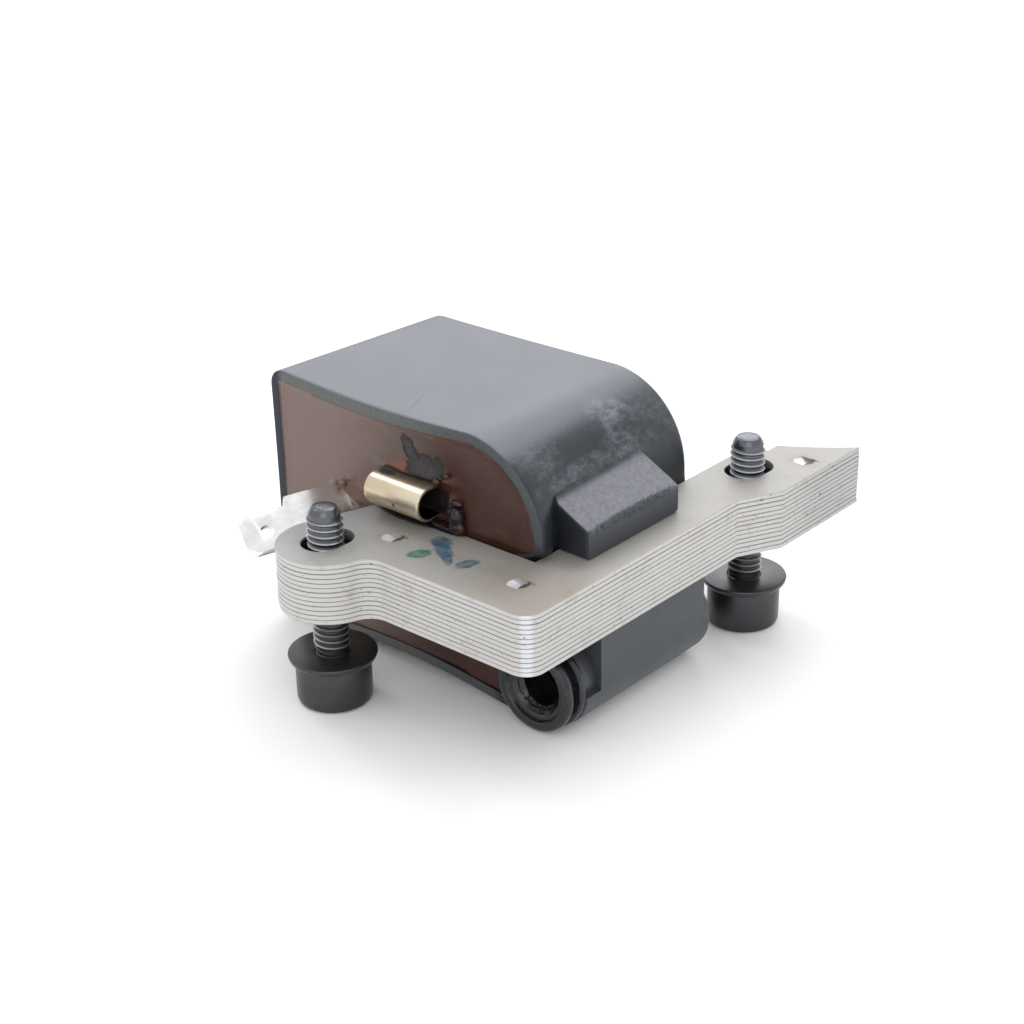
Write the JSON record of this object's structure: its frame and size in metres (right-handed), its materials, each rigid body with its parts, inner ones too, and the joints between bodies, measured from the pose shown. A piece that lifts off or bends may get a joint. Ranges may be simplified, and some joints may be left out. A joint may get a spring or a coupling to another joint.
{
  "type": "ignition module",
  "caption": "Small-engine ignition module: laminated steel core with two legs, potted coil housing on the middle leg, lead socket under the other, loose fixing screws.",
  "frame": {"origin": "midway between the two fixing screws, on the core's top face, which is the face that seats on the engine", "axes": "+Z out of the seating face, the way the screws' threads point; +Y along the legs towards the flywheel; +X along the base bar towards the leg that carries the lead socket"},
  "size_m": [0.0597, 0.0753, 0.0378],
  "materials": {
    "core_steel": "stamped electrical steel, satin, cut edges",
    "black_plastic": "moulded black thermoplastic, satin, scuffed",
    "potting_resin": "cast brown epoxy, satin",
    "bobbin_nylon": "natural nylon, matt",
    "copper_wire": "enamelled copper",
    "board_laminate": "glass-epoxy laminate",
    "capacitor_case": "dipped epoxy",
    "resistor_body": "lacquered ceramic",
    "spike_brass": "turned brass",
    "seal_rubber": "glossy moulded rubber",
    "clip_metal": "tin-plated brass strip, bright",
    "tinned_tab": "bright tin plate",
    "black_steel": "black oxide, lightly oiled"
  },
  "bodies": {
    "root": {"lamination_01": "core_steel", "lamination_02": "core_steel", "lamination_03": "core_steel", "lamination_04": "core_steel", "lamination_05": "core_steel", "lamination_06": "core_steel", "lamination_07": "core_steel", "lamination_08": "core_steel", "lamination_09": "core_steel", "lamination_10": "core_steel", "lamination_11": "core_steel", "lamination_12": "core_steel", "lamination_13": "core_steel", "coil_housing": "black_plastic", "potting_compound": "potting_resin", "primary_bobbin": "bobbin_nylon", "secondary_bobbin": "bobbin_nylon", "primary_winding": "copper_wire", "secondary_winding": "copper_wire", "primary_leads": "copper_wire", "ground_wire": "copper_wire", "kill_wire": "copper_wire", "ht_wire": "copper_wire", "circuit_board": "board_laminate", "film_capacitor": "capacitor_case", "power_transistor": "black_plastic", "resistors": "resistor_body", "clamp_diode": "black_plastic", "ht_contact_spike": "spike_brass", "lead_seal": "seal_rubber", "ground_clip": "clip_metal", "kill_terminal": "tinned_tab"},
    "screw_left": {"screw_left": "black_steel"},
    "screw_right": {"screw_right": "black_steel"},
    "washer_left": {"washer_left": "black_steel"},
    "washer_right": {"washer_right": "black_steel"}
  },
  "joints": [
    {"name": "washer_left_slide", "type": "slide", "parent": "root", "child": "washer_left", "axis": [0, 0, 1], "range_m": [-0.013, 0.0076]},
    {"name": "screw_left_turn", "type": "hinge", "parent": "washer_left", "child": "screw_left", "pos_m": [-0.01475, -0.0262, 0], "axis": [0, 0, 1], "continuous": true},
    {"name": "washer_right_slide", "type": "slide", "parent": "root", "child": "washer_right", "axis": [0, 0, 1], "range_m": [-0.013, 0.0076]},
    {"name": "screw_right_turn", "type": "hinge", "parent": "washer_right", "child": "screw_right", "pos_m": [0.01475, 0.0262, 0], "axis": [0, 0, 1], "continuous": true}
  ]
}
